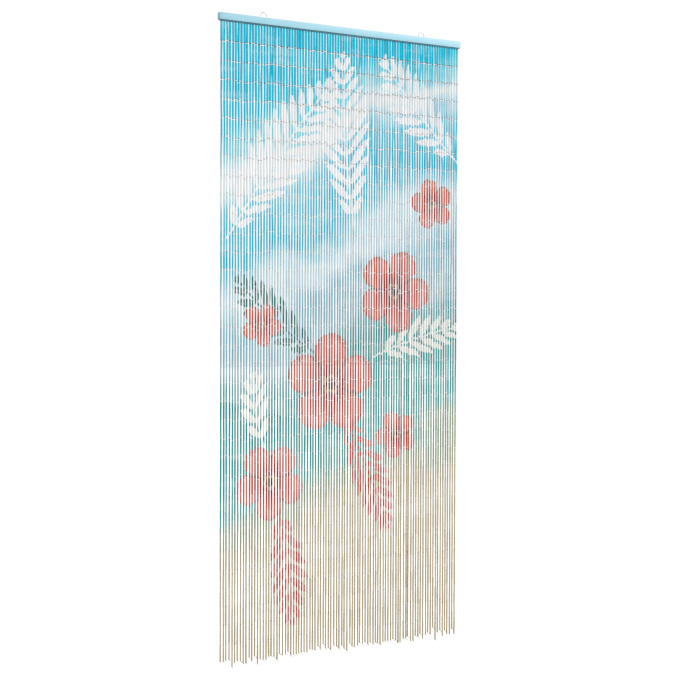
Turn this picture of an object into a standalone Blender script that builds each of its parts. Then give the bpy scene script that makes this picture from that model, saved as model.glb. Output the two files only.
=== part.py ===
"""Bamboo door curtain: a painted wooden rail with two bent wire loops to hang it by, and ninety
strands of bamboo tubes, each tube linked by wire to the one above it.

The origin is the middle of the rail's top face. X runs along the rail, the front faces -Y and the
strands hang down -Z. Lengths are in metres.
"""

import math
import random

import bmesh
import bpy
from mathutils import Vector

# Rail: a batten with its edges rounded over.
RAIL_LENGTH = 0.900
RAIL_DEPTH = 0.016
RAIL_HEIGHT = 0.022
RAIL_EDGE = 0.0018
RAIL_EDGE_STEPS = 2

# Hanging loops: bent wire, with both legs driven into the rail's top face.
LOOP_SPREAD = 0.590
LOOP_WIRE = 0.002
LOOP_WIDTH = 0.022
LOOP_RISE = 0.018
LOOP_SHOULDER = 0.004
LOOP_LEG = 0.012
LOOP_STEPS = 7
LOOP_PEAK = 0.0012
HOLE_CLEARANCE = 0.0003
HOLE_SIDES = 12

# Strands: hung side by side in one row under the middle of the rail.
STRAND_COUNT = 90
STRAND_INSET = 0.010
STRAND_PITCH = (RAIL_LENGTH - 2 * STRAND_INSET) / (STRAND_COUNT - 1)
TUBE_GAP = 0.0036
TUBE_SPREAD = 0.002
NECK_WIDTH = 0.0022
NECKED_JOINTS = 5
FOOT_WIRE = 0.006
FOOT_SWAY = 0.0015
SEED = 11

# Rows of tubes from the top down: how many, their thickness and their length.
TUBE_ROWS = (
    {"rows": 1, "width": 0.0075, "length": 0.055},
    {"rows": 3, "width": 0.0067, "length": 0.055},
    {"rows": 3, "width": 0.0054, "length": 0.055},
    {"rows": 27, "width": 0.0043, "length": 0.054},
)

# Strip: the row of wire staples that the strands hang from, close under the rail.
STRIP_GAP = 0.0003
STRIP_HEIGHT = 0.0022
STRIP_DEPTH = 0.0095
STRIP_OVERHANG = 0.001
STAPLE_DROP = 0.0055

# A strand's section: a flat front as wide as the tube, and a ridge at the back.
SECTION_FRONT = -0.30
SECTION_BACK = 0.52


def clear_scene():
    for old in list(bpy.data.objects):
        bpy.data.objects.remove(old)


def new_collection(name):
    collection = bpy.data.collections.new(name)
    bpy.context.scene.collection.children.link(collection)
    return collection


def new_material(name, colour, roughness, metallic):
    material = bpy.data.materials.new(name)
    material.use_nodes = True
    shader = material.node_tree.nodes["Principled BSDF"]
    shader.inputs["Base Color"].default_value = (*colour, 1)
    shader.inputs["Roughness"].default_value = roughness
    shader.inputs["Metallic"].default_value = metallic
    return material


def new_object(name, data, collection, material):
    made = bpy.data.objects.new(name, data)
    collection.objects.link(made)
    if material is not None:
        data.materials.append(material)
    return made


def box_mesh(name, size, centre):
    """A box of this size round this centre."""
    shape = bmesh.new()
    bmesh.ops.create_cube(shape, size=1)
    bmesh.ops.scale(shape, vec=size, verts=shape.verts)
    bmesh.ops.translate(shape, vec=centre, verts=shape.verts)
    mesh = bpy.data.meshes.new(name)
    shape.to_mesh(mesh)
    shape.free()
    return mesh


def as_mesh_object(curve_object, collection, material):
    """The curve as one closed mesh: the caps of a bevelled curve are loose until they are welded."""
    bpy.context.view_layer.update()
    graph = bpy.context.evaluated_depsgraph_get()
    mesh = bpy.data.meshes.new_from_object(curve_object.evaluated_get(graph))
    shape = bmesh.new()
    shape.from_mesh(mesh)
    bmesh.ops.remove_doubles(shape, verts=shape.verts, dist=1e-6)
    bmesh.ops.recalc_face_normals(shape, faces=shape.faces)
    shape.to_mesh(mesh)
    shape.free()
    mesh.materials.clear()
    made = new_object(curve_object.name + "_solid", mesh, collection, material)
    made.matrix_world = curve_object.matrix_world
    bpy.data.objects.remove(curve_object)
    return made


def hide_helper(helper):
    helper.hide_render = True
    helper.display_type = "WIRE"


def add_boolean(target, other, operation):
    modifier = target.modifiers.new(other.name, "BOOLEAN")
    modifier.object = other
    modifier.operation = operation
    modifier.solver = "EXACT"


def loop_centres():
    """Where each hanging loop stands along the rail, by the name of its side."""
    return {"left": -LOOP_SPREAD / 2, "right": LOOP_SPREAD / 2}


def leg_places(centre):
    half = (LOOP_WIDTH - LOOP_WIRE) / 2
    return (centre - half, centre + half)


def make_rail(parts, cutters):
    """The batten, with a blind hole for each leg of the two hanging loops."""
    centre = (0, 0, -RAIL_HEIGHT / 2)
    mesh = box_mesh("rail", (RAIL_LENGTH, RAIL_DEPTH, RAIL_HEIGHT), centre)
    paint = new_material("sky_blue_paint", (0.39, 0.68, 0.77), 0.45, 0.0)
    rail = new_object("rail", mesh, parts, paint)

    rounding = rail.modifiers.new("eased_edges", "BEVEL")
    rounding.width = RAIL_EDGE
    rounding.segments = RAIL_EDGE_STEPS

    hole_depth = LOOP_LEG + HOLE_CLEARANCE
    hole_radius = LOOP_WIRE / 2 + HOLE_CLEARANCE
    for side, centre_x in loop_centres().items():
        for number, leg_x in enumerate(leg_places(centre_x), start=1):
            bpy.ops.mesh.primitive_cylinder_add(
                vertices=HOLE_SIDES,
                radius=hole_radius,
                depth=2 * hole_depth,
                location=(leg_x, 0, 0),
            )
            drill = bpy.context.object
            drill.name = f"leg_hole_{side}_{number}"
            for collection in list(drill.users_collection):
                collection.objects.unlink(drill)
            cutters.objects.link(drill)
            hide_helper(drill)
            add_boolean(rail, drill, "DIFFERENCE")


def loop_outline():
    """The wire's centre line: up one leg, round the arch to its slight peak, and down the other."""
    half = (LOOP_WIDTH - LOOP_WIRE) / 2
    arch_rise = LOOP_RISE - LOOP_WIRE / 2 - LOOP_SHOULDER - LOOP_PEAK
    points = [Vector((-half, 0, -LOOP_LEG)), Vector((-half, 0, LOOP_SHOULDER))]
    for step in range(1, LOOP_STEPS * 2):
        angle = math.pi * step / (LOOP_STEPS * 2)
        peak = LOOP_PEAK * (1 - abs(math.cos(angle)))
        height = LOOP_SHOULDER + arch_rise * math.sin(angle) + peak
        points.append(Vector((-half * math.cos(angle), 0, height)))
    points += [Vector((half, 0, LOOP_SHOULDER)), Vector((half, 0, -LOOP_LEG))]
    return points


def make_hanging_loops(parts):
    """Two loops of bent wire, one near each end of the rail."""
    wire_steel = new_material("steel_wire", (0.62, 0.62, 0.63), 0.32, 1.0)
    for side, centre_x in loop_centres().items():
        curve = bpy.data.curves.new(f"hanging_loop_{side}", "CURVE")
        curve.dimensions = "3D"
        curve.bevel_depth = LOOP_WIRE / 2
        curve.bevel_resolution = 2
        curve.use_fill_caps = True
        points = loop_outline()
        spline = curve.splines.new("POLY")
        spline.points.add(len(points) - 1)
        for point, place in zip(spline.points, points):
            point.co = (*place, 1)
        loop = new_object(f"hanging_loop_{side}", curve, parts, wire_steel)
        loop.location = (centre_x, 0, 0)


def strand_tubes(chance):
    """One strand's tubes from the top down, as (top, bottom, width), each tube a little uneven."""
    top = -RAIL_HEIGHT - STAPLE_DROP
    tubes = []
    for tier in TUBE_ROWS:
        for _ in range(tier["rows"]):
            length = tier["length"] + chance.uniform(-TUBE_SPREAD, TUBE_SPREAD)
            tubes.append((top, top - length, tier["width"]))
            top -= length + TUBE_GAP
    return tubes


def strand_rings(tubes):
    """The sections of one strand as (height, width): its joints near the top are drawn in to the
    wire between two tubes, and below them it runs plain to the bent wire at its foot."""
    rings = [(-RAIL_HEIGHT - STRIP_GAP - STRIP_HEIGHT / 2, NECK_WIDTH)]
    rings.append((tubes[0][0], tubes[0][2]))
    for above, below in zip(tubes[:NECKED_JOINTS], tubes[1:]):
        rings.append((above[1], above[2]))
        rings.append(((above[1] + below[0]) / 2, NECK_WIDTH))
        rings.append((below[0], below[2]))
    thick_rows = sum(tier["rows"] for tier in TUBE_ROWS[:-1])
    rings.append((tubes[thick_rows][0], tubes[thick_rows][2]))
    rings.append((tubes[-1][1], tubes[-1][2]))
    rings.append((tubes[-1][1] - FOOT_WIRE, NECK_WIDTH))
    return rings


def make_strands(parts, cutters):
    """Ninety strands that stand apart, fused at their tops to the strip of staples."""
    profile = bpy.data.curves.new("strand_section", "CURVE")
    profile.dimensions = "2D"
    outline = profile.splines.new("POLY")
    corners = ((-0.5, SECTION_FRONT), (0.5, SECTION_FRONT), (0, SECTION_BACK))
    outline.points.add(len(corners) - 1)
    for point, (across, deep) in zip(outline.points, corners):
        point.co = (across, deep, 0, 1)
    outline.use_cyclic_u = True
    section = new_object("strand_section", profile, cutters, None)
    hide_helper(section)

    curve = bpy.data.curves.new("strand_row", "CURVE")
    curve.dimensions = "3D"
    curve.bevel_mode = "OBJECT"
    curve.bevel_object = section
    curve.use_fill_caps = True
    chance = random.Random(SEED)
    first_x = -RAIL_LENGTH / 2 + STRAND_INSET
    for number in range(STRAND_COUNT):
        sway_x = chance.uniform(-FOOT_SWAY, FOOT_SWAY)
        sway_y = chance.uniform(-FOOT_SWAY, FOOT_SWAY)
        tubes = strand_tubes(chance)
        rings = strand_rings(tubes)
        hangs_from = tubes[0][0]
        drop = hangs_from - rings[-1][0]
        spline = curve.splines.new("POLY")
        spline.points.add(len(rings) - 1)
        for point, (height, width) in zip(spline.points, rings):
            share = max(0, hangs_from - height) / drop
            x = first_x + number * STRAND_PITCH + sway_x * share
            point.co = (x, sway_y * share, height, 1)
            point.radius = width
    row = new_object("strand_row", curve, cutters, None)
    row_solid = as_mesh_object(row, cutters, None)
    hide_helper(row_solid)

    bamboo = new_material("printed_bamboo", (0.45, 0.69, 0.70), 0.50, 0.0)
    length = RAIL_LENGTH - 2 * STRAND_INSET + TUBE_ROWS[0]["width"] + 2 * STRIP_OVERHANG
    centre = (0, 0, -RAIL_HEIGHT - STRIP_GAP - STRIP_HEIGHT / 2)
    strip = box_mesh("strands", (length, STRIP_DEPTH, STRIP_HEIGHT), centre)
    strands = new_object("strands", strip, parts, bamboo)
    add_boolean(strands, row_solid, "UNION")


clear_scene()
curtain = new_collection("bamboo_door_curtain")
helpers = new_collection("cutters_and_guides")
make_rail(curtain, helpers)
make_hanging_loops(curtain)
make_strands(curtain, helpers)
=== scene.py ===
"""Looks of the bamboo door curtain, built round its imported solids: the painted rail with its wire
loops, ninety strands of linked bamboo tubes with a printed front, and a pale studio.
Lengths are in metres."""

import math
import random

import bmesh
import bpy
from mathutils import Matrix, Vector


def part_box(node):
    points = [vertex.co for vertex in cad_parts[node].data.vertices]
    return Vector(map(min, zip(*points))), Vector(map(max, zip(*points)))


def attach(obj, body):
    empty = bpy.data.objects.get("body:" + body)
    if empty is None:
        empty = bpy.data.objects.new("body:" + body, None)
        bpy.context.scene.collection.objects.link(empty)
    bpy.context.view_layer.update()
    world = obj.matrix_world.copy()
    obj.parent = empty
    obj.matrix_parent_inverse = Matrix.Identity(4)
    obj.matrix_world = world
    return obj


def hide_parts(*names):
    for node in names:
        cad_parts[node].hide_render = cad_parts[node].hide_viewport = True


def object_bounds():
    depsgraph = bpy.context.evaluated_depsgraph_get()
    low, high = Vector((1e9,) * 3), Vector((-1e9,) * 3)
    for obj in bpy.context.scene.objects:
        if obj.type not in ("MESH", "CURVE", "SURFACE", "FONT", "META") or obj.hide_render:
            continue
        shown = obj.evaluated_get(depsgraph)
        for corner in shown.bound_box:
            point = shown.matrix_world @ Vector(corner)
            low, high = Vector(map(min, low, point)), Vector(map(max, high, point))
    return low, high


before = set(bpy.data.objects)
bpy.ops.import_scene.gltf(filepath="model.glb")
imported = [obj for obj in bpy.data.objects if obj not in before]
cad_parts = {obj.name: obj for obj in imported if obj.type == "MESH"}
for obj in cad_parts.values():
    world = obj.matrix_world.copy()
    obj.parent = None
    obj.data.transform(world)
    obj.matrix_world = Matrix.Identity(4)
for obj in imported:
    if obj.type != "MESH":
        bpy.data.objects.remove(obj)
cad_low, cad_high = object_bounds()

# The camera stands a little left of the curtain and somewhat under its middle, and looks at it
# almost level through a long lens. The picture is square, so its side is the sensor's width.
CAMERA_PLACE = Vector((-2.390, -3.934, -0.919))
CAMERA_HEADING = math.radians(31.12)
CAMERA_TILT = math.radians(-1.0)
CAMERA_ROLL = math.radians(0.2)
CAMERA_LENS = 75.85
SENSOR_WIDTH = 36.0

camera_data = bpy.data.cameras.new("camera")
camera_data.sensor_width = SENSOR_WIDTH
camera_data.lens = CAMERA_LENS
camera = bpy.data.objects.new("camera", camera_data)
bpy.context.scene.collection.objects.link(camera)
level = math.radians(90)
camera.matrix_world = (
    Matrix.Translation(CAMERA_PLACE)
    @ Matrix.Rotation(-CAMERA_HEADING, 4, "Z")
    @ Matrix.Rotation(level + CAMERA_TILT, 4, "X")
    @ Matrix.Rotation(CAMERA_ROLL, 4, "Z")
)
bpy.context.scene.camera = camera
bpy.context.scene.view_settings.view_transform = "Standard"


# The rail is a planed softwood batten with rounded edges, sprayed sky blue on all sides, with painted shade
# as a darker blue on its underside. Each wire loop's legs are driven into holes in its top, and the grain
# shows faintly through the paint.
RAIL_EDGE = 0.0018
RAIL_EDGE_STEPS = 5
RAIL_PIECES_LONG = 36
RAIL_WAVE = 0.00012
WAVER_SEED = 3
WOOD_SHARP_FROM = math.radians(40)
HOLE_RADIUS = 0.0013
HOLE_DEPTH = 0.0123
HOLE_SIDES = 24
PAINT = (0.370, 0.668, 0.780)
PAINT_DEEP = (0.323, 0.620, 0.740)
UNDERSIDE_SHADE = (0.130, 0.290, 0.360)
BARE_WOOD = (0.600, 0.500, 0.350)
GRAIN_STRETCH = (6, 260, 260)
MOTTLING_STRETCH = (14, 60, 60)
SCUFF_STRETCH = (60, 300, 300)
ORANGE_PEEL_SCALE = 900.0
GRAIN_SHOWS = 0.14
WEAR_SHOWS = 0.75
PAINT_RELIEF = 0.0004
rail_low, rail_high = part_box("rail")


def feed(tree, socket, value):
    """Sets an input, or links it if the value is another node's output."""
    if isinstance(value, bpy.types.NodeSocket):
        tree.links.new(value, socket)
    else:
        socket.default_value = value


def place_node(tree, kind, inputs, **settings):
    """A new node with these settings, and these inputs by name or number."""
    made = tree.nodes.new(kind)
    for name, value in settings.items():
        setattr(made, name, value)
    for name, value in inputs.items():
        feed(tree, made.inputs[name], value)
    return made


def maths(tree, operation, *values):
    inputs = dict(enumerate(values))
    return place_node(tree, "ShaderNodeMath", inputs, operation=operation).outputs[0]


def between(tree, value, low, high):
    """0 under low, 1 over high and smooth in between."""
    inputs = {"Value": value, "From Min": low, "From Max": high}
    return place_node(tree, "ShaderNodeMapRange", inputs, interpolation_type="SMOOTHSTEP").outputs[0]


def mix_colours(tree, share, first, second, kind="MIX"):
    """The two colours mixed: all first at 0 and all second at 1."""
    made = tree.nodes.new("ShaderNodeMix")
    made.data_type = "RGBA"
    made.blend_type = kind
    feed(tree, made.inputs["Factor"], share)
    for socket, value in ((made.inputs[6], first), (made.inputs[7], second)):
        feed(tree, socket, (*value, 1) if isinstance(value, tuple) else value)
    return made.outputs[2]


def stretched(tree, coordinates, scale):
    """Coordinates scaled on each axis."""
    inputs = {"Vector": coordinates, "Scale": scale}
    return place_node(tree, "ShaderNodeMapping", inputs).outputs[0]


def noise(tree, coordinates, scale, detail=2.0, roughness=0.5, distortion=0.0):
    inputs = {
        "Vector": coordinates,
        "Scale": scale,
        "Detail": detail,
        "Roughness": roughness,
        "Distortion": distortion,
    }
    return place_node(tree, "ShaderNodeTexNoise", inputs).outputs["Fac"]


def bumped(tree, height, strength, distance):
    inputs = {"Height": height, "Strength": strength, "Distance": distance}
    return place_node(tree, "ShaderNodeBump", inputs).outputs[0]


def new_finish(name):
    """A new material, with its tree, its shader and its object coordinates."""
    material = bpy.data.materials.new(name)
    material.use_nodes = True
    tree = material.node_tree
    shader = tree.nodes["Principled BSDF"]
    coordinates = tree.nodes.new("ShaderNodeTexCoord").outputs["Object"]
    return material, tree, shader, coordinates


def sprayed_paint():
    """Satin paint over wood: faint grain along X, soft mottling, pale wood at worn edges, and painted
    shade: a darker blue on the faces turned downwards."""
    material, tree, shader, coordinates = new_finish("sky_blue_paint")
    grain = noise(tree, stretched(tree, coordinates, GRAIN_STRETCH), 1.0, 4.0, 0.6, 0.4)
    mottling = noise(tree, stretched(tree, coordinates, MOTTLING_STRETCH), 1.0, 3.0)
    orange_peel = noise(tree, coordinates, ORANGE_PEEL_SCALE, 2.0)
    colour = mix_colours(tree, between(tree, mottling, 0.30, 0.75), PAINT_DEEP, PAINT)
    grain_lines = maths(tree, "MULTIPLY", between(tree, grain, 0.56, 0.72), GRAIN_SHOWS)
    colour = mix_colours(tree, grain_lines, colour, PAINT_DEEP)

    parts = place_node(tree, "ShaderNodeSeparateXYZ", {"Vector": coordinates}).outputs
    middle = (rail_low + rail_high) / 2
    half = (rail_high - rail_low) / 2
    near_edges = []
    for part, centre, reach in zip(parts, middle, half):
        away = maths(tree, "ABSOLUTE", maths(tree, "SUBTRACT", part, centre))
        near_edges.append(between(tree, away, reach - 1.4 * RAIL_EDGE, reach - 0.2 * RAIL_EDGE))
    two_faces = maths(tree, "ADD", maths(tree, "ADD", *near_edges[:2]), near_edges[2])
    on_edge = between(tree, two_faces, 1.25, 1.65)
    scuffed = noise(tree, stretched(tree, coordinates, SCUFF_STRETCH), 1.0, 5.0, 0.7)
    scuffs = between(tree, scuffed, 0.60, 0.68)
    worn = maths(tree, "MULTIPLY", maths(tree, "MULTIPLY", on_edge, scuffs), WEAR_SHOWS)
    colour = mix_colours(tree, worn, colour, BARE_WOOD)
    normal = place_node(tree, "ShaderNodeNewGeometry", {}).outputs["Normal"]
    upward = place_node(tree, "ShaderNodeSeparateXYZ", {"Vector": normal}).outputs["Z"]
    # Painted shade: faces turned downwards get a darker blue, for the shade under the rail.
    colour = mix_colours(tree, between(tree, upward, -0.25, -0.70), colour, UNDERSIDE_SHADE)
    feed(tree, shader.inputs["Base Color"], colour)
    gloss = maths(tree, "MULTIPLY_ADD", mottling, 0.16, 0.34)
    feed(tree, shader.inputs["Roughness"], maths(tree, "ADD", gloss, maths(tree, "MULTIPLY", worn, 0.3)))
    grain_relief = maths(tree, "MULTIPLY", grain, 0.8)
    peel_relief = maths(tree, "MULTIPLY", orange_peel, 0.15)
    relief = maths(tree, "ADD", grain_relief, peel_relief)
    feed(tree, shader.inputs["Normal"], bumped(tree, relief, 0.35, PAINT_RELIEF))
    return material


def finished_piece(name, mesh, finishes=()):
    """An object at the origin that shows this mesh."""
    for finish in finishes:
        mesh.materials.append(finish)
    piece = bpy.data.objects.new(name, mesh)
    bpy.context.scene.collection.objects.link(piece)
    return piece


def evaluated_mesh(source):
    """The object's mesh with its modifiers applied."""
    bpy.context.view_layer.update()
    graph = bpy.context.evaluated_depsgraph_get()
    return bpy.data.meshes.new_from_object(source.evaluated_get(graph))


def discard(*objects):
    for unwanted in objects:
        bpy.data.objects.remove(unwanted)


def batten():
    """The rail's box with rounded edges and a row of cuts along it, so that it can waver a little."""
    shape = bmesh.new()
    bmesh.ops.create_cube(shape, size=1)
    bmesh.ops.scale(shape, vec=rail_high - rail_low, verts=shape.verts)
    bmesh.ops.translate(shape, vec=(rail_low + rail_high) / 2, verts=shape.verts)
    bmesh.ops.bevel(
        shape,
        geom=shape.edges[:],
        offset=RAIL_EDGE,
        segments=RAIL_EDGE_STEPS,
        affect="EDGES",
        profile=0.5,
    )
    length = rail_high.x - rail_low.x
    for step in range(1, RAIL_PIECES_LONG):
        cut_at = rail_low.x + length * step / RAIL_PIECES_LONG
        everything = shape.verts[:] + shape.edges[:] + shape.faces[:]
        bmesh.ops.bisect_plane(shape, geom=everything, plane_co=(cut_at, 0, 0), plane_no=(1, 0, 0))
    chance = random.Random(WAVER_SEED)
    waver = [chance.uniform(-RAIL_WAVE, 0) for _ in range(RAIL_PIECES_LONG + 1)]
    middle = (rail_low + rail_high) / 2
    for vertex in shape.verts:
        along = round((vertex.co.x - rail_low.x) / length * RAIL_PIECES_LONG)
        for axis in (1, 2):
            vertex.co[axis] += waver[along] * (1 if vertex.co[axis] > middle[axis] else -1)
    mesh = bpy.data.meshes.new("rail_batten")
    shape.to_mesh(mesh)
    shape.free()
    return mesh


LOOP_NODES = ("hanging_loop_left", "hanging_loop_right")
LOOP_WIRE = 0.002


def leg_places(node):
    """Where a loop's two legs enter the rail, along X."""
    low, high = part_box(node)
    return (low.x + LOOP_WIRE / 2, high.x - LOOP_WIRE / 2)


rail_block = finished_piece("rail_block", batten())
drills = []
for node in LOOP_NODES:
    for leg_x in leg_places(node):
        shape = bmesh.new()
        bmesh.ops.create_cone(
            shape,
            cap_ends=True,
            segments=HOLE_SIDES,
            radius1=HOLE_RADIUS,
            radius2=HOLE_RADIUS,
            depth=2 * HOLE_DEPTH,
            matrix=Matrix.Translation((leg_x, 0, 0)),
        )
        drill_mesh = bpy.data.meshes.new("drill")
        shape.to_mesh(drill_mesh)
        shape.free()
        drill = finished_piece("drill", drill_mesh)
        drills.append(drill)
        cut = rail_block.modifiers.new("leg_hole", "BOOLEAN")
        cut.object = drill
        cut.operation = "DIFFERENCE"
rail_mesh = evaluated_mesh(rail_block)
discard(rail_block, *drills)
rail_mesh.shade_smooth()
rail_mesh.set_sharp_from_angle(angle=WOOD_SHARP_FROM)
rail = finished_piece("painted_rail", rail_mesh, [sprayed_paint()])
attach(rail, "root")
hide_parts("rail")


# Each hanging loop is a length of 2 mm steel wire bent over a former into an arch with a slight
# peak, whose legs are driven into the rail. The cut wire is bright, with faint drawing marks.
LOOP_SHOULDER = 0.004
LOOP_PEAK = 0.0012
LOOP_STEPS = 20
WIRE_SIDES_STEP = 4
WIRE_SHARP_FROM = math.radians(50)
WELD_DISTANCE = 1e-6
WIRE_PATCH_SCALE = 260.0
DRAWING_STRETCH = (2600, 2600, 90)
STEEL = (0.60, 0.60, 0.61)
STEEL_DULL = (0.24, 0.23, 0.22)


def steel_wire(name, dullness):
    """Drawn steel wire, duller where it was gripped and bent."""
    material, tree, shader, coordinates = new_finish(name)
    patches = noise(tree, coordinates, WIRE_PATCH_SCALE, 3.0, 0.6)
    drawing = noise(tree, stretched(tree, coordinates, DRAWING_STRETCH), 1.0, 2.0)
    dull = maths(tree, "MULTIPLY", between(tree, patches, 0.35, 0.75), dullness)
    feed(tree, shader.inputs["Base Color"], mix_colours(tree, dull, STEEL, STEEL_DULL))
    feed(tree, shader.inputs["Roughness"], maths(tree, "MULTIPLY_ADD", dull, 0.35, 0.26))
    shader.inputs["Metallic"].default_value = 1.0
    feed(tree, shader.inputs["Normal"], bumped(tree, drawing, 0.2, 0.0001))
    return material


def loop_outline(low, high):
    """The wire's centre line, as in the solids: up one leg, over the peaked arch and down."""
    half = (high.x - low.x - LOOP_WIRE) / 2
    middle = (low.x + high.x) / 2
    rise = high.z - LOOP_WIRE / 2 - LOOP_SHOULDER - LOOP_PEAK
    points = [Vector((middle - half, 0, low.z))]
    for step in range(LOOP_STEPS + 1):
        angle = math.pi * step / LOOP_STEPS
        peak = LOOP_PEAK * (1 - abs(math.cos(angle)))
        height = LOOP_SHOULDER + rise * math.sin(angle) + peak
        points.append(Vector((middle - half * math.cos(angle), 0, height)))
    points.append(Vector((middle + half, 0, low.z)))
    return points


def swept_wire(name, points, radius):
    """A round wire along these points, as a mesh with its caps welded on."""
    curve = bpy.data.curves.new(name, "CURVE")
    curve.dimensions = "3D"
    curve.bevel_depth = radius
    curve.bevel_resolution = WIRE_SIDES_STEP
    curve.use_fill_caps = True
    spline = curve.splines.new("POLY")
    spline.points.add(len(points) - 1)
    for point, place in zip(spline.points, points):
        point.co = (*place, 1)
    holder = bpy.data.objects.new(name, curve)
    bpy.context.scene.collection.objects.link(holder)
    mesh = evaluated_mesh(holder)
    discard(holder)
    shape = bmesh.new()
    shape.from_mesh(mesh)
    bmesh.ops.remove_doubles(shape, verts=shape.verts, dist=WELD_DISTANCE)
    bmesh.ops.recalc_face_normals(shape, faces=shape.faces)
    shape.to_mesh(mesh)
    shape.free()
    mesh.shade_smooth()
    mesh.set_sharp_from_angle(angle=WIRE_SHARP_FROM)
    return mesh


loop_steel = steel_wire("loop_steel", 0.5)
for node in LOOP_NODES:
    loop_mesh = swept_wire(node, loop_outline(*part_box(node)), LOOP_WIRE / 2)
    loop_mesh.materials.clear()
    hanging_loop = finished_piece("wire_" + node, loop_mesh, [loop_steel])
    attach(hanging_loop, "root")
    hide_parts(node)


# Under the rail runs a thin lath, coloured a dark blue-grey that is painted shade for the dark line under
# the rail. It holds the staples that the strands hang from.
LATH_EDGE = 0.0005
LATH_EDGE_STEPS = 3
LATH_LOW = 0.0025
# Painted shade: the lath's dark blue-grey stands in for the shade under the rail.
LATH_SHADE_COLOUR = (0.140, 0.300, 0.380)
LATH_WORN = (0.200, 0.370, 0.440)
LATH_GRAIN_STRETCH = (12, 420, 420)


def lath_shade_finish():
    """Dark blue-grey painted shade over planed wood, a little paler along the grain."""
    material, tree, shader, coordinates = new_finish("lath_painted_shade")
    grain = noise(tree, stretched(tree, coordinates, LATH_GRAIN_STRETCH), 1.0, 4.0, 0.6, 0.3)
    lines = between(tree, grain, 0.48, 0.70)
    feed(tree, shader.inputs["Base Color"], mix_colours(tree, lines, LATH_SHADE_COLOUR, LATH_WORN))
    feed(tree, shader.inputs["Roughness"], maths(tree, "MULTIPLY_ADD", grain, 0.2, 0.5))
    feed(tree, shader.inputs["Normal"], bumped(tree, grain, 0.3, 0.0003))
    return material


strands_low, strands_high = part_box("strands")
lath_low = Vector((strands_low.x, strands_low.y, rail_low.z - LATH_LOW))
lath_high = Vector(strands_high)
shape = bmesh.new()
bmesh.ops.create_cube(shape, size=1)
bmesh.ops.scale(shape, vec=lath_high - lath_low, verts=shape.verts)
bmesh.ops.translate(shape, vec=(lath_low + lath_high) / 2, verts=shape.verts)
bmesh.ops.bevel(
    shape,
    geom=shape.edges[:],
    offset=LATH_EDGE,
    segments=LATH_EDGE_STEPS,
    affect="EDGES",
    profile=0.5,
)
lath_mesh = bpy.data.meshes.new("staple_lath")
shape.to_mesh(lath_mesh)
shape.free()
lath_mesh.shade_smooth()
lath_mesh.set_sharp_from_angle(angle=WOOD_SHARP_FROM)
lath = finished_piece("staple_lath", lath_mesh, [lath_shade_finish()])
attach(lath, "root")
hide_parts("strands")


# The strands: ninety strings of bamboo tubes, a wire link between each two, with thick tubes at
# the top and thin ones from the eighth row down. They hang where the solids do, with a little
# play at every joint, and their tubes reach further into the joints and are wider lower down.
STRAND_COUNT = 90
STRAND_INSET = 0.010
TUBE_GAP = 0.0036
TUBE_SPREAD = 0.002
STAPLE_DROP = 0.0055
TOP_GAP = 0.0007
FOOT_WIRE = 0.006
FOOT_SWAY = 0.0015
STRAND_PLAY = 0.0005
JOINT_PLAY = 0.0016
LAYOUT_SEED = 11
LOOSENESS_SEED = 5

# Tiers of rows from the top down. Looseness is how far a joint may stand aside, reach how far the tubes'
# ends go into its gap, wrap how far ink goes round a tube and shade how strong the painted shade near its
# ends is.
TIER_TRAITS = ("rows", "width", "length", "looseness", "reach", "wrap", "shade")
TIERS = (
    (1, 0.0075, 0.055, 0.0007, (-0.0002, 0.0014), 1.0, 1.0),
    (3, 0.0069, 0.055, 0.0007, (-0.0002, 0.0014), 1.0, 1.0),
    (3, 0.0061, 0.055, 0.0009, (-0.0001, 0.0014), 0.9, 0.9),
    (9, 0.0054, 0.054, 0.0005, (0.0006, 0.0015), 0.8, 0.6),
    (9, 0.0054, 0.054, 0.0003, (0.0009, 0.0015), 0.8, 0.5),
    (9, 0.0054, 0.054, 0.0003, (0.0014, 0.0015), 0.8, 0.2),
)
TUBE_ROWS = [dict(zip(TIER_TRAITS, traits)) for traits in TIERS]
WIDTH_VARIES = 0.10
SWAY_SHOWN = 0.6
rail_length = rail_high.x - rail_low.x
strand_pitch = (rail_length - 2 * STRAND_INSET) / (STRAND_COUNT - 1)


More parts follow.
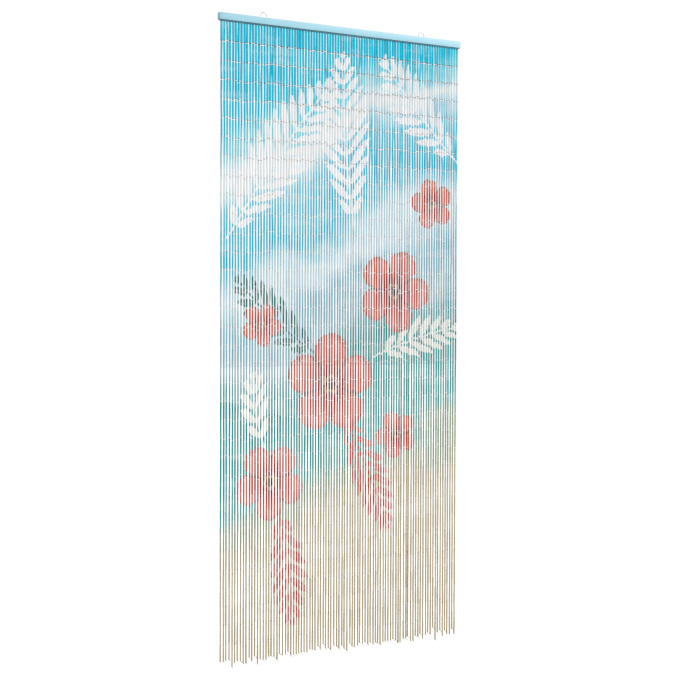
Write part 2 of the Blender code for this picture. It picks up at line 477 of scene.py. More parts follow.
def strand_tubes(number, chance, looser):
    """One strand's tubes from the top down, each with its two ends, its width and its row."""
    sway_x = chance.uniform(-FOOT_SWAY, FOOT_SWAY) * SWAY_SHOWN
    sway_y = chance.uniform(-FOOT_SWAY, FOOT_SWAY) * SWAY_SHOWN
    top = rail_low.z - STAPLE_DROP
    heights = []
    for tier in TUBE_ROWS:
        for _ in range(tier["rows"]):
            length = tier["length"] + chance.uniform(-TUBE_SPREAD, TUBE_SPREAD)
            heights.append((top, top - length, tier))
            top -= length + TUBE_GAP
    hangs_from = heights[0][0]
    drop = hangs_from - (heights[-1][1] - FOOT_WIRE)
    first_x = rail_low.x + STRAND_INSET + number * strand_pitch
    first_x += looser.uniform(-STRAND_PLAY, STRAND_PLAY)
    play = Vector((0, 0, 0))
    tubes = []
    for row, (top, bottom, tier) in enumerate(heights):
        next_play = Vector((looser.uniform(-1, 1), looser.uniform(-1, 1), 0)) * tier["looseness"]
        next_play.z = looser.uniform(-JOINT_PLAY, JOINT_PLAY) if row < len(heights) - 1 else 0
        top_end = lath_low.z - TOP_GAP if row == 0 else top + looser.uniform(*tier["reach"])
        bottom_end = bottom if row == len(heights) - 1 else bottom - looser.uniform(*tier["reach"])
        joint_above = lath_low.z if row == 0 else top + TUBE_GAP / 2
        joint_below = bottom - TUBE_GAP / 2
        ends = ((top_end, play), (bottom_end, next_play))
        joints = ((joint_above, play), (joint_below, next_play))
        places = []
        for height, shift in ends + joints:
            share = max(0, hangs_from - height) / drop
            places.append(Vector((first_x + sway_x * share, sway_y * share, height)) + shift)
        play = next_play
        tube = dict(zip(("top", "bottom", "joint_above", "joint_below"), places))
        tube["width"] = tier["width"] * (1 + looser.uniform(-WIDTH_VARIES, WIDTH_VARIES))
        tube["row"] = row
        tube["wrap"] = tier["wrap"]
        tube["shade"] = tier["shade"]
        tubes.append(tube)
    return tubes


layout_chance = random.Random(LAYOUT_SEED)
loose_chance = random.Random(LOOSENESS_SEED)
strands = []
for number in range(STRAND_COUNT):
    strands.append(strand_tubes(number, layout_chance, loose_chance))
row_count = len(strands[0])


# The tubes are thin bamboo, sawn to length, hollow right through and a little uneven, as it grows.
# The front is printed as one panel; the backs and the bores are bare. Painted shade darkens each tube near
# its ends and turns the sawn ends near-black.
TUBE_SIDES = 10
TUBE_WALL = 0.52
TUBE_UNEVENNESS = 0.07
TUBE_SHARP_FROM = math.radians(50)
SWELL_SCALE = 55.0
OUTER_SIDE = 3  # of the four sides of the wall's section
BAMBOO = (0.560, 0.430, 0.250)
BAMBOO_DARK = (0.300, 0.215, 0.120)
SAWN_END_SHADE = (0.045, 0.040, 0.038)
END_PAINTED_SHADE = (0.100, 0.125, 0.145)


def geometry_tree(name, inputs):
    """A Geometry Nodes tree with these named inputs, its input sockets and its output socket."""
    tree = bpy.data.node_groups.new(name, "GeometryNodeTree")
    geometry = "NodeSocketGeometry"
    tree.interface.new_socket("Geometry", in_out="INPUT", socket_type=geometry)
    for label, kind in inputs.items():
        tree.interface.new_socket(label, in_out="INPUT", socket_type="NodeSocket" + kind)
    tree.interface.new_socket("Geometry", in_out="OUTPUT", socket_type=geometry)
    given = tree.nodes.new("NodeGroupInput").outputs
    result = tree.nodes.new("NodeGroupOutput").inputs["Geometry"]
    return tree, given, result


def named(tree, attribute, kind="FLOAT"):
    """An attribute of the guide's points."""
    node = place_node(tree, "GeometryNodeInputNamedAttribute", {"Name": attribute}, data_type=kind)
    return node.outputs["Attribute"]


def set_on_points(tree, points, shape):
    """The shape set on each point, turned and sized by the point's attributes, and made real."""
    turn = place_node(tree, "FunctionNodeEulerToRotation", {0: named(tree, "turn", "FLOAT_VECTOR")})
    inputs = {
        "Points": points,
        "Instance": shape,
        "Rotation": turn.outputs[0],
        "Scale": named(tree, "size", "FLOAT_VECTOR"),
    }
    copies = place_node(tree, "GeometryNodeInstanceOnPoints", inputs).outputs[0]
    return place_node(tree, "GeometryNodeRealizeInstances", {0: copies}).outputs[0]


def shaded_smooth(tree, geometry, sharpest):
    """Smooth faces, with the edges steeper than this kept sharp."""
    inputs = {0: geometry, "Shade Smooth": True}
    smooth = place_node(tree, "GeometryNodeSetShadeSmooth", inputs, domain="FACE")
    angle = tree.nodes.new("GeometryNodeInputMeshEdgeAngle").outputs["Unsigned Angle"]
    steep = maths(tree, "GREATER_THAN", angle, sharpest)
    inputs = {0: smooth.outputs[0], "Selection": steep, "Shade Smooth": False}
    return place_node(tree, "GeometryNodeSetShadeSmooth", inputs, domain="EDGE").outputs[0]


def tube_tree():
    """A hollow tube on each point: a wall's section, as tall as the tube, swept round a circle.
    The wall's outer side has a cut half-way up, so that the tube can swell a little."""
    inputs = {"Sides": "Int", "Wall": "Float", "Unevenness": "Float", "Finish": "Material"}
    tree, given, result = geometry_tree("bamboo_tubes", inputs)
    wall = maths(tree, "MULTIPLY", given["Wall"], 0.5)
    ring_radius = maths(tree, "SUBTRACT", 0.5, maths(tree, "MULTIPLY", wall, 0.5))
    inputs = {"Resolution": given["Sides"], "Radius": ring_radius}
    ring = place_node(tree, "GeometryNodeCurvePrimitiveCircle", inputs).outputs[0]
    inputs = {"Width": wall, "Height": 1.0}
    section = place_node(tree, "GeometryNodeCurvePrimitiveQuadrilateral", inputs).outputs[0]
    side_number = tree.nodes.new("GeometryNodeInputIndex").outputs[0]
    is_outer = place_node(
        tree,
        "FunctionNodeCompare",
        {2: side_number, 3: OUTER_SIDE},
        data_type="INT",
        operation="EQUAL",
    )
    inputs = {0: section, "Cuts": is_outer.outputs[0]}
    cut_section = place_node(tree, "GeometryNodeSubdivideCurve", inputs).outputs[0]
    swept = place_node(tree, "GeometryNodeCurveToMesh", {0: ring, 1: cut_section})
    here = tree.nodes.new("GeometryNodeInputPosition").outputs[0]
    height = place_node(tree, "ShaderNodeSeparateXYZ", {0: here}).outputs["Z"]
    along = maths(tree, "ADD", height, 0.5)
    marked = place_node(
        tree,
        "GeometryNodeStoreNamedAttribute",
        {"Geometry": swept.outputs[0], "Name": "along", "Value": along},
        data_type="FLOAT",
        domain="POINT",
    )
    tubes = set_on_points(tree, given["Geometry"], marked.outputs[0])
    grown = noise(tree, here, SWELL_SCALE, 1.0)
    swell = maths(tree, "MULTIPLY", maths(tree, "SUBTRACT", grown, 0.5), given["Unevenness"])
    girth = place_node(tree, "ShaderNodeSeparateXYZ", {0: named(tree, "girth", "FLOAT_VECTOR")})
    swell = maths(tree, "MULTIPLY", swell, girth.outputs[0])
    outward = place_node(
        tree,
        "ShaderNodeVectorMath",
        {0: tree.nodes.new("GeometryNodeInputNormal").outputs[0], "Scale": swell},
        operation="SCALE",
    )
    uneven = place_node(tree, "GeometryNodeSetPosition", {0: tubes, "Offset": outward.outputs[0]})
    smooth = shaded_smooth(tree, uneven.outputs[0], TUBE_SHARP_FROM)
    finish = place_node(tree, "GeometryNodeSetMaterial", {0: smooth, "Material": given["Finish"]})
    tree.links.new(finish.outputs[0], result)
    return tree


def guide_points(places, turns, sizes, marks):
    """Loose points with a turn, a size and marks for each."""
    mesh = bpy.data.meshes.new("guide")
    mesh.from_pydata(places, [], [])
    vectors = {"turn": turns, "size": sizes, "girth": sizes}
    for name, values in vectors.items():
        layer = mesh.attributes.new(name, "FLOAT_VECTOR", "POINT")
        layer.data.foreach_set("vector", [part for value in values for part in value])
    for name, values in marks.items():
        mesh.attributes.new(name, "FLOAT", "POINT").data.foreach_set("value", values)
    return finished_piece("guide", mesh)


def grown_mesh(guide, tree, values):
    """The plain mesh that the tree makes of this guide, which is then removed."""
    grower = guide.modifiers.new(tree.name, "NODES")
    grower.node_group = tree
    for socket in tree.interface.items_tree:
        if socket.in_out == "INPUT" and socket.name in values:
            grower[socket.identifier] = values[socket.name]
    mesh = evaluated_mesh(guide)
    discard(guide)
    return mesh


def lean(top, bottom):
    """The small turn that sets an upright piece along the line from bottom to top."""
    line = top - bottom
    return (-math.atan2(line.y, line.z), math.atan2(line.x, line.z), 0.0)


# The print is a generic one: soft washes of sky blue, white, turquoise and cream that run aslant,
# a garland of coral blossoms and leaf sprays. Ink was rolled on from the front, so it thins out
# round each tube's sides, and the tubes have slipped a little since.
PRINT_SLIP = 0.003
INK_STARTS = -0.05
INK_FULL = 0.30
INK_WRAPS = 0.45
INK_RAGGED = 0.14
WASH_SLANT = 0.20
WASH_DRIFT = 0.26
DRIFT_SCALE = 2.1
STREAK_STRETCH = (5, 26, 1)
PALE_STREAK = (0.92, 0.92, 0.91)
PALE_STREAKS_SHOW = 0.15
DEEP_STREAK = (0.00, 0.30, 0.36)
DEEP_STREAKS_SHOW = 0.14
WASHES = (
    {"at": 0.00, "colour": (0.000, 0.600, 0.800)},
    {"at": 0.08, "colour": (0.000, 0.630, 0.820)},
    {"at": 0.13, "colour": (0.250, 0.740, 0.860)},
    {"at": 0.17, "colour": (0.860, 0.920, 0.950)},
    {"at": 0.22, "colour": (0.120, 0.640, 0.820)},
    {"at": 0.28, "colour": (0.000, 0.560, 0.760)},
    {"at": 0.34, "colour": (0.640, 0.820, 0.890)},
    {"at": 0.39, "colour": (0.250, 0.570, 0.690)},
    {"at": 0.46, "colour": (0.360, 0.590, 0.660)},
    {"at": 0.51, "colour": (0.120, 0.440, 0.480)},
    {"at": 0.54, "colour": (0.000, 0.340, 0.330)},
    {"at": 0.59, "colour": (0.010, 0.400, 0.390)},
    {"at": 0.68, "colour": (0.060, 0.430, 0.410)},
    {"at": 0.73, "colour": (0.380, 0.450, 0.300)},
    {"at": 0.77, "colour": (0.570, 0.480, 0.300)},
    {"at": 0.82, "colour": (0.650, 0.570, 0.400)},
    {"at": 0.87, "colour": (0.590, 0.495, 0.300)},
    {"at": 1.00, "colour": (0.580, 0.480, 0.290)},
)
BLOSSOMS = (
    {"x": -0.27, "z": -1.44, "radius": 0.125, "turn": 20},
    {"x": -0.05, "z": -1.14, "radius": 0.165, "turn": 55},
    {"x": 0.19, "z": -0.84, "radius": 0.140, "turn": 5},
    {"x": 0.34, "z": -0.55, "radius": 0.085, "turn": 40},
    {"x": 0.20, "z": -1.31, "radius": 0.080, "turn": 30},
    {"x": -0.30, "z": -0.95, "radius": 0.070, "turn": 10},
)
PETAL_COLOURS = (
    {"at": 0.00, "colour": (0.020, 0.008, 0.008)},
    {"at": 0.10, "colour": (0.090, 0.010, 0.008)},
    {"at": 0.16, "colour": (0.720, 0.420, 0.220)},
    {"at": 0.22, "colour": (0.330, 0.018, 0.012)},
    {"at": 0.50, "colour": (0.640, 0.072, 0.042)},
    {"at": 0.82, "colour": (0.750, 0.190, 0.130)},
    {"at": 1.00, "colour": (0.430, 0.038, 0.026)},
)
PETAL_FOLD = (0.20, 0.012, 0.008)
PETAL_VEINS = 60
PETAL_VEINS_SHOW = 0.06
WHITE_LEAF = (0.900, 0.930, 0.950)
PALE_LEAF = (0.820, 0.860, 0.780)
TEAL_LEAF = (0.000, 0.200, 0.200)
CORAL_LEAF = (0.620, 0.070, 0.042)
SPRAYS = (
    {"x": -0.43, "z": -0.70, "heading": 58, "length": 0.66, "width": 0.110, "colour": WHITE_LEAF},
    {"x": 0.04, "z": -0.66, "heading": 100, "length": 0.58, "width": 0.100, "colour": WHITE_LEAF},
    {"x": 0.46, "z": -0.42, "heading": 140, "length": 0.46, "width": 0.090, "colour": WHITE_LEAF},
    {"x": -0.08, "z": -1.06, "heading": 148, "length": 0.40, "width": 0.075, "colour": TEAL_LEAF},
    {"x": 0.10, "z": -1.06, "heading": 24, "length": 0.36, "width": 0.070, "colour": PALE_LEAF},
    {"x": -0.02, "z": -1.22, "heading": -58, "length": 0.44, "width": 0.075, "colour": CORAL_LEAF},
    {"x": -0.25, "z": -1.50, "heading": -74, "length": 0.40, "width": 0.070, "colour": CORAL_LEAF},
    {"x": -0.28, "z": -1.36, "heading": 112, "length": 0.26, "width": 0.055, "colour": PALE_LEAF},
)
LEAF_SPACING = 0.046
LEAF_FULLNESS = 0.42
LEAF_SOFTNESS = 0.06
LEAF_VEIN = (0.85, 0.88, 0.85)
LEAF_VEIN_SHOWS = 0.20
LEAST_REACH = 0.02
STEM_CURL = 0.05
STEM_OUTSIDE = 0.0042
STEM_INSIDE = 0.0024


def pattern_group(name, values, results):
    """A node group for one motif, with its number and colour inputs and its two results."""
    group = bpy.data.node_groups.new(name, "ShaderNodeTree")
    for label, kind in values.items():
        group.interface.new_socket(label, in_out="INPUT", socket_type="NodeSocket" + kind)
    for label, kind in results.items():
        group.interface.new_socket(label, in_out="OUTPUT", socket_type="NodeSocket" + kind)
    given = group.nodes.new("NodeGroupInput").outputs
    gives = group.nodes.new("NodeGroupOutput").inputs
    return group, given, gives


def colour_ramp(tree, value, stops, blending="LINEAR"):
    """The colour at this value, blended between the stops."""
    ramp = tree.nodes.new("ShaderNodeValToRGB")
    ramp.color_ramp.interpolation = blending
    while len(ramp.color_ramp.elements) < len(stops):
        ramp.color_ramp.elements.new(0.5)
    for element, stop in zip(ramp.color_ramp.elements, stops):
        element.position = stop["at"]
        element.color = (*stop["colour"], 1)
    feed(tree, ramp.inputs[0], value)
    return ramp.outputs[0]


def blossom_group():
    """Five round petals in coral, darker at the heart and between the petals."""
    labels = ("Across", "Up", "Middle Across", "Middle Up", "Radius", "Turn")
    values = dict.fromkeys(labels, "Float")
    group, given, gives = pattern_group("blossom", values, {"Colour": "Color", "Cover": "Float"})
    across = maths(group, "SUBTRACT", given["Across"], given["Middle Across"])
    up = maths(group, "SUBTRACT", given["Up"], given["Middle Up"])
    spot = place_node(group, "ShaderNodeCombineXYZ", {"X": across, "Y": up}).outputs[0]
    away = place_node(group, "ShaderNodeVectorMath", {0: spot}, operation="LENGTH").outputs["Value"]
    away = maths(group, "DIVIDE", away, given["Radius"])
    angle = maths(group, "ADD", maths(group, "ARCTAN2", up, across), given["Turn"])
    lobe = maths(group, "ABSOLUTE", maths(group, "COSINE", maths(group, "MULTIPLY", angle, 2.5)))
    outline = maths(group, "MULTIPLY_ADD", maths(group, "POWER", lobe, 0.5), 0.46, 0.54)
    share = maths(group, "DIVIDE", away, outline)
    petals = colour_ramp(group, share, PETAL_COLOURS)
    veins = maths(group, "SINE", maths(group, "MULTIPLY", angle, PETAL_VEINS))
    veins = maths(group, "MULTIPLY", veins, PETAL_VEINS_SHOW)
    folds = maths(group, "ADD", between(group, lobe, 0.0, 0.35), veins)
    feed(group, gives["Colour"], mix_colours(group, folds, PETAL_FOLD, petals))
    feed(group, gives["Cover"], between(group, share, 1.0, 0.965))
    return group


def spray_group():
    """A stem with slender leaves on both sides, longest near the middle and slanting to its tip."""
    labels = ("Across", "Up", "Base Across", "Base Up", "Heading", "Length", "Width", "Spacing")
    values = dict.fromkeys(labels, "Float")
    values["Colour"] = "Color"
    group, given, gives = pattern_group("leaf_spray", values, {"Colour": "Color", "Cover": "Float"})
    across = maths(group, "SUBTRACT", given["Across"], given["Base Across"])
    up = maths(group, "SUBTRACT", given["Up"], given["Base Up"])
    cosine = maths(group, "COSINE", given["Heading"])
    sine = maths(group, "SINE", given["Heading"])
    across_cosine = maths(group, "MULTIPLY", across, cosine)
    up_sine = maths(group, "MULTIPLY", up, sine)
    along = maths(group, "ADD", across_cosine, up_sine)
    up_cosine = maths(group, "MULTIPLY", up, cosine)
    across_sine = maths(group, "MULTIPLY", across, sine)
    aside = maths(group, "SUBTRACT", up_cosine, across_sine)
    share = maths(group, "DIVIDE", along, given["Length"])
    curl = maths(group, "MULTIPLY", maths(group, "MULTIPLY", share, share), STEM_CURL)
    out = maths(group, "ABSOLUTE", maths(group, "ADD", aside, curl))

    leaf_number = maths(group, "DIVIDE", maths(group, "SUBTRACT", along, out), given["Spacing"])
    from_middle = maths(group, "SUBTRACT", maths(group, "FRACT", leaf_number), 0.5)
    place_in_leaf = maths(group, "ABSOLUTE", from_middle)
    root = maths(group, "MULTIPLY", maths(group, "FLOOR", leaf_number), given["Spacing"])
    root = maths(group, "DIVIDE", root, given["Length"])
    root = maths(group, "MINIMUM", maths(group, "MAXIMUM", root, 0.0), 1.0)
    half_turn = maths(group, "MULTIPLY", maths(group, "POWER", root, 0.75), math.pi)
    swelling = maths(group, "MAXIMUM", maths(group, "SINE", half_turn), LEAST_REACH)
    reach = maths(group, "MULTIPLY", swelling, given["Width"])
    in_leaf = maths(group, "MINIMUM", maths(group, "DIVIDE", out, reach), 1.0)
    belly = maths(group, "SINE", maths(group, "MULTIPLY", in_leaf, math.pi))
    belly = maths(group, "MULTIPLY", maths(group, "POWER", belly, 0.7), LEAF_FULLNESS)
    thickness = maths(group, "SUBTRACT", belly, place_in_leaf)
    leaves = between(group, thickness, 0.0, LEAF_SOFTNESS)
    past_base = maths(group, "GREATER_THAN", share, 0.02)
    before_tip = maths(group, "LESS_THAN", share, 1.0)
    within = maths(group, "MULTIPLY", past_base, before_tip)
    stem = between(group, out, STEM_OUTSIDE, STEM_INSIDE)
    cover = maths(group, "MULTIPLY", maths(group, "MAXIMUM", leaves, stem), within)
    vein = maths(group, "MULTIPLY", between(group, place_in_leaf, 0.08, 0.0), LEAF_VEIN_SHOWS)
    feed(group, gives["Colour"], mix_colours(group, vein, given["Colour"], LEAF_VEIN))
    feed(group, gives["Cover"], cover)
    return group


def motif(tree, group, values):
    """One motif of the print: its colour and where it covers the ground."""
    made = tree.nodes.new("ShaderNodeGroup")
    made.node_tree = group
    for name, value in values.items():
        feed(tree, made.inputs[name], value)
    return made.outputs["Colour"], made.outputs["Cover"]


def print_colour(tree, across, up):
    """The whole print as a colour, by place across and up the curtain."""
    spot = place_node(tree, "ShaderNodeCombineXYZ", {"X": across, "Y": up}).outputs[0]
    drift = noise(tree, spot, DRIFT_SCALE, 3.0, 0.5, 0.5)
    streaks = noise(tree, stretched(tree, spot, STREAK_STRETCH), 1.0, 3.0, 0.6, 0.3)
    height = maths(tree, "MULTIPLY", up, -0.5)
    slanted = maths(tree, "MULTIPLY_ADD", across, WASH_SLANT, height)
    drifted = maths(tree, "MULTIPLY", maths(tree, "SUBTRACT", drift, 0.5), WASH_DRIFT)
    wash_at = maths(tree, "ADD", slanted, drifted)
    colour = colour_ramp(tree, wash_at, WASHES, "EASE")
    pale = maths(tree, "MULTIPLY", between(tree, streaks, 0.50, 0.62), PALE_STREAKS_SHOW)
    colour = mix_colours(tree, pale, colour, PALE_STREAK)
    deep = maths(tree, "MULTIPLY", between(tree, streaks, 0.36, 0.28), DEEP_STREAKS_SHOW)
    colour = mix_colours(tree, deep, colour, DEEP_STREAK)
    leaf_spray = spray_group()
    for row in SPRAYS:
        values = {
            "Across": across,
            "Up": up,
            "Base Across": row["x"],
            "Base Up": row["z"],
            "Heading": math.radians(row["heading"]),
            "Length": row["length"],
            "Width": row["width"],
            "Spacing": LEAF_SPACING,
            "Colour": (*row["colour"], 1),
        }
        leaf_colour, cover = motif(tree, leaf_spray, values)
        colour = mix_colours(tree, cover, colour, leaf_colour)
    blossom = blossom_group()
    for row in BLOSSOMS:
        values = {
            "Across": across,
            "Up": up,
            "Middle Across": row["x"],
            "Middle Up": row["z"],
            "Radius": row["radius"],
            "Turn": math.radians(row["turn"]),
        }
        petal_colour, cover = motif(tree, blossom, values)
        colour = mix_colours(tree, cover, colour, petal_colour)
    return colour


# The three ranges at the end are distances from a tube's middle, as shares of its length: where the ink
# stops, where the painted shade near its ends begins and is full, and where the near-black painted shade of
# the sawn end begins and is full.
FIBRE_STRETCH = (1700, 1700, 26)
MARK_STRETCH = (300, 300, 45)
FIBRES_SHOW = 0.07
FIBRE_RELIEF = 0.0003
AGE_SHOWS = 0.45
DEEPER_INK = (0.30, 0.36, 0.38)
DEEPER_SHOWS = 0.16
INK_ENDS = (0.514, 0.524)
END_SHADE_REACH = (0.474, 0.492)
SAWN_SHADE_REACH = (0.4985, 0.4998)


def printed_bamboo():
    """Bare bamboo with fibres along each tube, the print over its front, and painted shade near the ends
    and on the sawn ends.
    """
    material, tree, shader, coordinates = new_finish("printed_bamboo")
    parts = place_node(tree, "ShaderNodeSeparateXYZ", {"Vector": coordinates}).outputs
    marks = {}
    for name in ("tint", "slip", "along", "wrap", "shade"):
        marks[name] = place_node(tree, "ShaderNodeAttribute", {}, attribute_name=name).outputs["Fac"]
    fibres = noise(tree, stretched(tree, coordinates, FIBRE_STRETCH), 1.0, 3.0, 0.6)
    bands = noise(tree, stretched(tree, coordinates, MARK_STRETCH), 1.0, 3.0, 0.6)
    bare = mix_colours(tree, between(tree, fibres, 0.35, 0.70), BAMBOO, BAMBOO_DARK)
    aged = maths(tree, "MULTIPLY", marks["tint"], AGE_SHOWS)
    bare = mix_colours(tree, aged, bare, BAMBOO_DARK)

    across = parts["X"]
    up = maths(tree, "MULTIPLY_ADD", marks["slip"], PRINT_SLIP, parts["Z"])
    ink = print_colour(tree, across, up)
    deeper = maths(tree, "MULTIPLY", maths(tree, "SUBTRACT", 1.0, marks["tint"]), DEEPER_SHOWS)
    ink = mix_colours(tree, deeper, ink, DEEPER_INK, "MULTIPLY")
    fibres_through = maths(tree, "MULTIPLY", between(tree, fibres, 0.45, 0.75), FIBRES_SHOW)
    ink = mix_colours(tree, fibres_through, ink, bare)

    normal = place_node(tree, "ShaderNodeNewGeometry", {}).outputs["Normal"]
    facing = place_node(tree, "ShaderNodeSeparateXYZ", {"Vector": normal}).outputs["Y"]
    facing = maths(tree, "MULTIPLY", facing, -1.0)
    ragged_side = maths(tree, "MULTIPLY", maths(tree, "SUBTRACT", bands, 0.5), INK_RAGGED)
    facing = maths(tree, "ADD", facing, ragged_side)
    facing = maths(tree, "MULTIPLY_ADD", marks["wrap"], INK_WRAPS, facing)
    inked = between(tree, facing, INK_STARTS, INK_FULL)
    from_end = maths(tree, "ABSOLUTE", maths(tree, "SUBTRACT", marks["along"], 0.5))
    ragged_end = maths(tree, "MULTIPLY_ADD", bands, 0.02, from_end)
    inked = maths(tree, "MULTIPLY", inked, between(tree, ragged_end, *reversed(INK_ENDS)))
    colour = mix_colours(tree, inked, bare, ink)
    # Painted shade: a grey-blue darkening near each tube's ends, strongest in the top rows and varying at
    # random from tube to tube.
    end_shade = maths(tree, "MULTIPLY", between(tree, from_end, *END_SHADE_REACH), marks["shade"])
    end_shade = maths(tree, "MULTIPLY", end_shade, maths(tree, "MULTIPLY_ADD", marks["tint"], 0.5, 0.4))
    colour = mix_colours(tree, end_shade, colour, END_PAINTED_SHADE, "MULTIPLY")
    # Painted shade: the sawn ends are coloured near-black.
    colour = mix_colours(tree, between(tree, from_end, *SAWN_SHADE_REACH), colour, SAWN_END_SHADE)
    feed(tree, shader.inputs["Base Color"], colour)
    feed(tree, shader.inputs["Roughness"], maths(tree, "MULTIPLY_ADD", fibres, 0.25, 0.50))
    shader.inputs["Specular IOR Level"].default_value = 0.2
    feed(tree, shader.inputs["Normal"], bumped(tree, fibres, 0.25, FIBRE_RELIEF))
    return material


TUBE_BANDS = (
    {"piece": "bamboo_tubes_top", "first": 0, "last": 6},
    {"piece": "bamboo_tubes_upper", "first": 7, "last": 15},
    {"piece": "bamboo_tubes_middle", "first": 16, "last": 24},
    {"piece": "bamboo_tubes_lower", "first": 25, "last": row_count - 1},
)
LOOK_SEED = 23
tube_values = {
    "Sides": TUBE_SIDES,
    "Wall": TUBE_WALL,
    "Unevenness": TUBE_UNEVENNESS,
    "Finish": printed_bamboo(),
}
tubes_on_points = tube_tree()
look_chance = random.Random(LOOK_SEED)
for band in TUBE_BANDS:
    rows = range(band["first"], band["last"] + 1)
    chosen = [tube for strand in strands for tube in strand if tube["row"] in rows]
    tube_guide = guide_points(
        [(tube["top"] + tube["bottom"]) / 2 for tube in chosen],
        [lean(tube["top"], tube["bottom"]) for tube in chosen],
        [(tube["width"], tube["width"], (tube["top"] - tube["bottom"]).length) for tube in chosen],
        {
            "tint": [look_chance.random() for _ in chosen],
            "slip": [look_chance.uniform(-1, 1) for _ in chosen],
            "wrap": [tube["wrap"] for tube in chosen],
            "shade": [tube["shade"] for tube in chosen],
        },
    )
    tube_piece = finished_piece(band["piece"], grown_mesh(tube_guide, tubes_on_points, tube_values))
    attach(tube_piece, "root")
    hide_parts("strands")


# A wire runs through each tube and is bent into an eye at both ends, and the eyes of neighbouring
# tubes hook into each other. The top eye hangs on a staple under the rail, and the last wire
# ends in a small open hook that keeps the lowest tube on.
LINK_WIRE = 0.0006
EYE_RADIUS = 0.00068
EYE_STEPS = 7
EYE_TURN = math.radians(318)
STEM_IN_BORE = 0.005
STAPLE_WIRE = 0.0009
STAPLE_RADIUS = 0.0014
STAPLE_STEPS = 8
STAPLE_IN_LATH = 0.0018
FOOT_WIRE_WIDTH = 0.0012
HOOK_NECK = 0.0016
HOOK_RADIUS = 0.0013
HOOK_WIDTH = 0.0064
HOOK_BENDS = ((0.12, 1.5), (0.32, 2.0))
HOOK_RETURN = 0.35
HOOK_STEPS = 6
HOOK_TURNS = (-0.9, 0.5)
EYE_TWIST = 0.4
TURN_SEED = 31
WIRE_SIDES = 4
THIN_WIRE_SHARP_FROM = math.radians(75)


def wire_tree():
    """A bent wire on each point: the path swept with a small round section."""
    inputs = {"Path": "Object", "Wire Radius": "Float", "Sides": "Int", "Finish": "Material"}
    tree, given, result = geometry_tree("bent_wires", inputs)
    path = place_node(tree, "GeometryNodeObjectInfo", {"Object": given["Path"]}).outputs["Geometry"]
    line = place_node(tree, "GeometryNodeMeshToCurve", {0: path}).outputs[0]
    inputs = {"Resolution": given["Sides"], "Radius": given["Wire Radius"]}
    section = place_node(tree, "GeometryNodeCurvePrimitiveCircle", inputs)
    swept = place_node(tree, "GeometryNodeCurveToMesh", {0: line, 1: section.outputs[0], "Fill Caps": True})
    wires = set_on_points(tree, given["Geometry"], swept.outputs[0])
    smooth = shaded_smooth(tree, wires, THIN_WIRE_SHARP_FROM)
    finish = place_node(tree, "GeometryNodeSetMaterial", {0: smooth, "Material": given["Finish"]})
    tree.links.new(finish.outputs[0], result)
    return tree


def path_piece(name, points):
    """The wire's centre line as an open chain of edges."""
    mesh = bpy.data.meshes.new(name)
    mesh.from_pydata(points, [(n, n + 1) for n in range(len(points) - 1)], [])
    return finished_piece(name, mesh)


def eye_path():
    """Out of the bore above and once round the eye. The joint's middle is the origin."""
    centre = EYE_RADIUS - LINK_WIRE / 2
    points = [(0, 0, centre + EYE_RADIUS + STEM_IN_BORE)]
    for step in range(EYE_STEPS + 1):
        angle = EYE_TURN * step / EYE_STEPS
        points.append((EYE_RADIUS * math.sin(angle), 0, centre + EYE_RADIUS * math.cos(angle)))
    return points


def staple_path():
    """Down from inside the lath, round and up again. Its origin is the lath's underside."""
    bottom = LINK_WIRE + STAPLE_WIRE / 2
    points = [(-STAPLE_RADIUS, 0, STAPLE_IN_LATH)]
    for step in range(STAPLE_STEPS + 1):
        angle = math.pi * step / STAPLE_STEPS
        height = STAPLE_RADIUS * (1 - math.sin(angle)) - bottom
        points.append((-STAPLE_RADIUS * math.cos(angle), 0, height))
    points.append((STAPLE_RADIUS, 0, STAPLE_IN_LATH))
    return points


def hook_path():
    """Out of the bore, then bent sideways and back on itself in a flat open hook."""
    points = [(0, 0, STEM_IN_BORE), (0, 0, -HOOK_NECK)]
    for across, down in HOOK_BENDS:
        points.append((HOOK_WIDTH * across, 0, -HOOK_NECK - HOOK_RADIUS * down))
    for step in range(HOOK_STEPS + 1):
        angle = math.pi * step / HOOK_STEPS
        across = HOOK_WIDTH - HOOK_RADIUS + HOOK_RADIUS * math.sin(angle)
        points.append((across, 0, -HOOK_NECK - HOOK_RADIUS - HOOK_RADIUS * math.cos(angle)))
    points.append((HOOK_WIDTH * HOOK_RETURN, 0, -HOOK_NECK))
    return points


def wires_on(places, turns, path, wire, name, finish):
    """One piece of many like wires, riding with the curtain."""
    plain = [(1, 1, 1)] * len(places)
    wire_guide = guide_points(places, turns, plain, {})
    path_holder = path_piece("path", path)
    values = {"Path": path_holder, "Wire Radius": wire / 2, "Sides": WIRE_SIDES, "Finish": finish}
    piece = finished_piece(name, grown_mesh(wire_guide, wires_on_points, values))
    discard(path_holder)
    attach(piece, "root")
    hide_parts("strands")


link_steel = steel_wire("link_steel", 1.0)
foot_steel = steel_wire("foot_steel", 2.0)
wires_on_points = wire_tree()
turn_chance = random.Random(TURN_SEED)
quarter = math.pi / 2
EYE_BANDS = (
    {"piece": "wire_eyes_upper", "first": 0, "last": 10},
    {"piece": "wire_eyes_middle", "first": 11, "last": 22},
    {"piece": "wire_eyes_lower", "first": 23, "last": row_count - 1},
)
for band in EYE_BANDS:
    places, turns = [], []
    for strand in strands:
        for tube in strand[band["first"] : band["last"] + 1]:
            twist = turn_chance.uniform(-EYE_TWIST, EYE_TWIST)
            places.append(tube["joint_above"])
            turns.append((math.pi, 0, quarter + twist))
            if tube["row"] < row_count - 1:
                places.append(tube["joint_below"])
                turns.append((0, 0, twist))
    wires_on(places, turns, eye_path(), LINK_WIRE, band["piece"], link_steel)

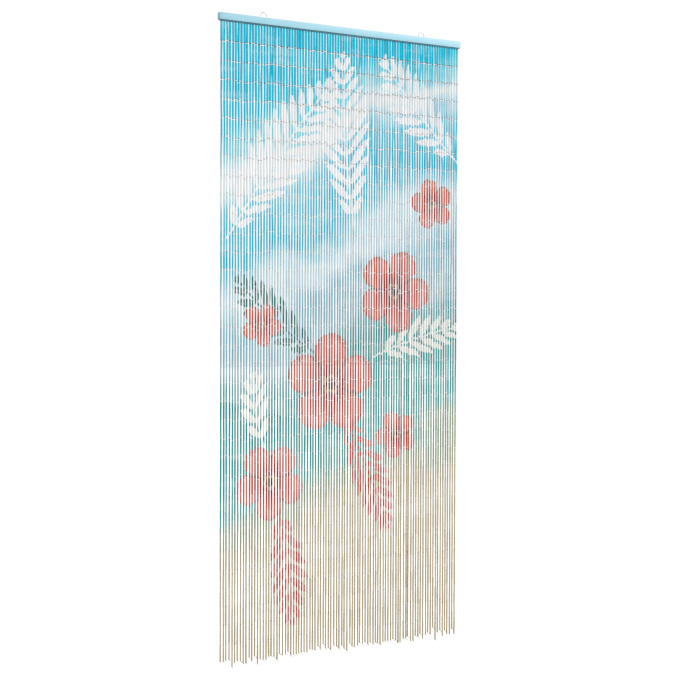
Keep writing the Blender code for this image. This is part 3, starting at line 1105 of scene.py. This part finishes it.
staple_places = [strand[0]["joint_above"] for strand in strands]
wires_on(staple_places, [(0, 0, 0)] * STRAND_COUNT, staple_path(), STAPLE_WIRE, "wire_staples", link_steel)
hook_places = [strand[-1]["bottom"] for strand in strands]
hook_turns = [(0, 0, turn_chance.uniform(*HOOK_TURNS)) for _ in strands]
wires_on(hook_places, hook_turns, hook_path(), FOOT_WIRE_WIDTH, "wire_hooks_at_feet", foot_steel)


# The studio: a pale floor well below the strands' feet, a white surround that lights everything
# softly, a broad lamp from the right and in front, which leaves each tube darker on its left, and
# a weak one from the left.
FLOOR_DROP = 0.30
FLOOR_SIZE = 60.0
FLOOR_COLOUR = (0.60, 0.60, 0.60)
FLOOR_CLOUD = (0.50, 0.50, 0.50)
FLOOR_CLOUD_SCALE = 1.5
FLOOR_CLOUD_SHOWS = 0.02
FLOOR_GLOW = 0.90
SURROUND_LIGHT = 0.56
SURROUND_SEEN = 1.02
LAMPS = (
    {"name": "key", "place": (4.0, -4.2, 2.4), "size": 2.0, "power": 250.0},
    {"name": "fill", "place": (-4.5, -3.0, 0.6), "size": 3.0, "power": 55.0},
)


def seen_directly(tree):
    """1 where the camera sees the surface itself, and 0 where its light falls on something."""
    return tree.nodes.new("ShaderNodeLightPath").outputs["Is Camera Ray"]


def pale_floor():
    """Matt floor with a hardly visible mottling. It is seen paler than it lights the curtain."""
    material, tree, shader, coordinates = new_finish("pale_floor")
    cloudy = noise(tree, coordinates, FLOOR_CLOUD_SCALE, 3.0)
    shade = maths(tree, "MULTIPLY", cloudy, FLOOR_CLOUD_SHOWS)
    feed(tree, shader.inputs["Base Color"], mix_colours(tree, shade, FLOOR_COLOUR, FLOOR_CLOUD))
    shader.inputs["Roughness"].default_value = 0.9
    shader.inputs["Specular IOR Level"].default_value = 0.1
    shader.inputs["Emission Color"].default_value = (1, 1, 1, 1)
    glow = maths(tree, "MULTIPLY", seen_directly(tree), FLOOR_GLOW)
    feed(tree, shader.inputs["Emission Strength"], glow)
    return material


shape = bmesh.new()
floor_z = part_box("strands")[0].z - FLOOR_DROP
floor_place = Matrix.Translation((0, 0, floor_z))
bmesh.ops.create_grid(shape, x_segments=4, y_segments=4, size=FLOOR_SIZE / 2, matrix=floor_place)
floor_mesh = bpy.data.meshes.new("floor")
shape.to_mesh(floor_mesh)
shape.free()
floor = finished_piece("floor", floor_mesh, [pale_floor()])

world = bpy.data.worlds.new("studio")
world.use_nodes = True
surround = world.node_tree.nodes["Background"]
surround.inputs["Color"].default_value = (1, 1, 1, 1)
seen = maths(world.node_tree, "MULTIPLY", seen_directly(world.node_tree), SURROUND_SEEN - SURROUND_LIGHT)
feed(world.node_tree, surround.inputs["Strength"], maths(world.node_tree, "ADD", seen, SURROUND_LIGHT))
bpy.context.scene.world = world
aim = Vector((0, 0, (cad_low.z + cad_high.z) / 2))
for row in LAMPS:
    lamp_data = bpy.data.lights.new(row["name"], "AREA")
    lamp_data.size = row["size"]
    lamp_data.energy = row["power"]
    lamp = bpy.data.objects.new(row["name"], lamp_data)
    bpy.context.scene.collection.objects.link(lamp)
    lamp.location = row["place"]
    lamp.rotation_euler = (aim - lamp.location).to_track_quat("-Z", "Y").to_euler()
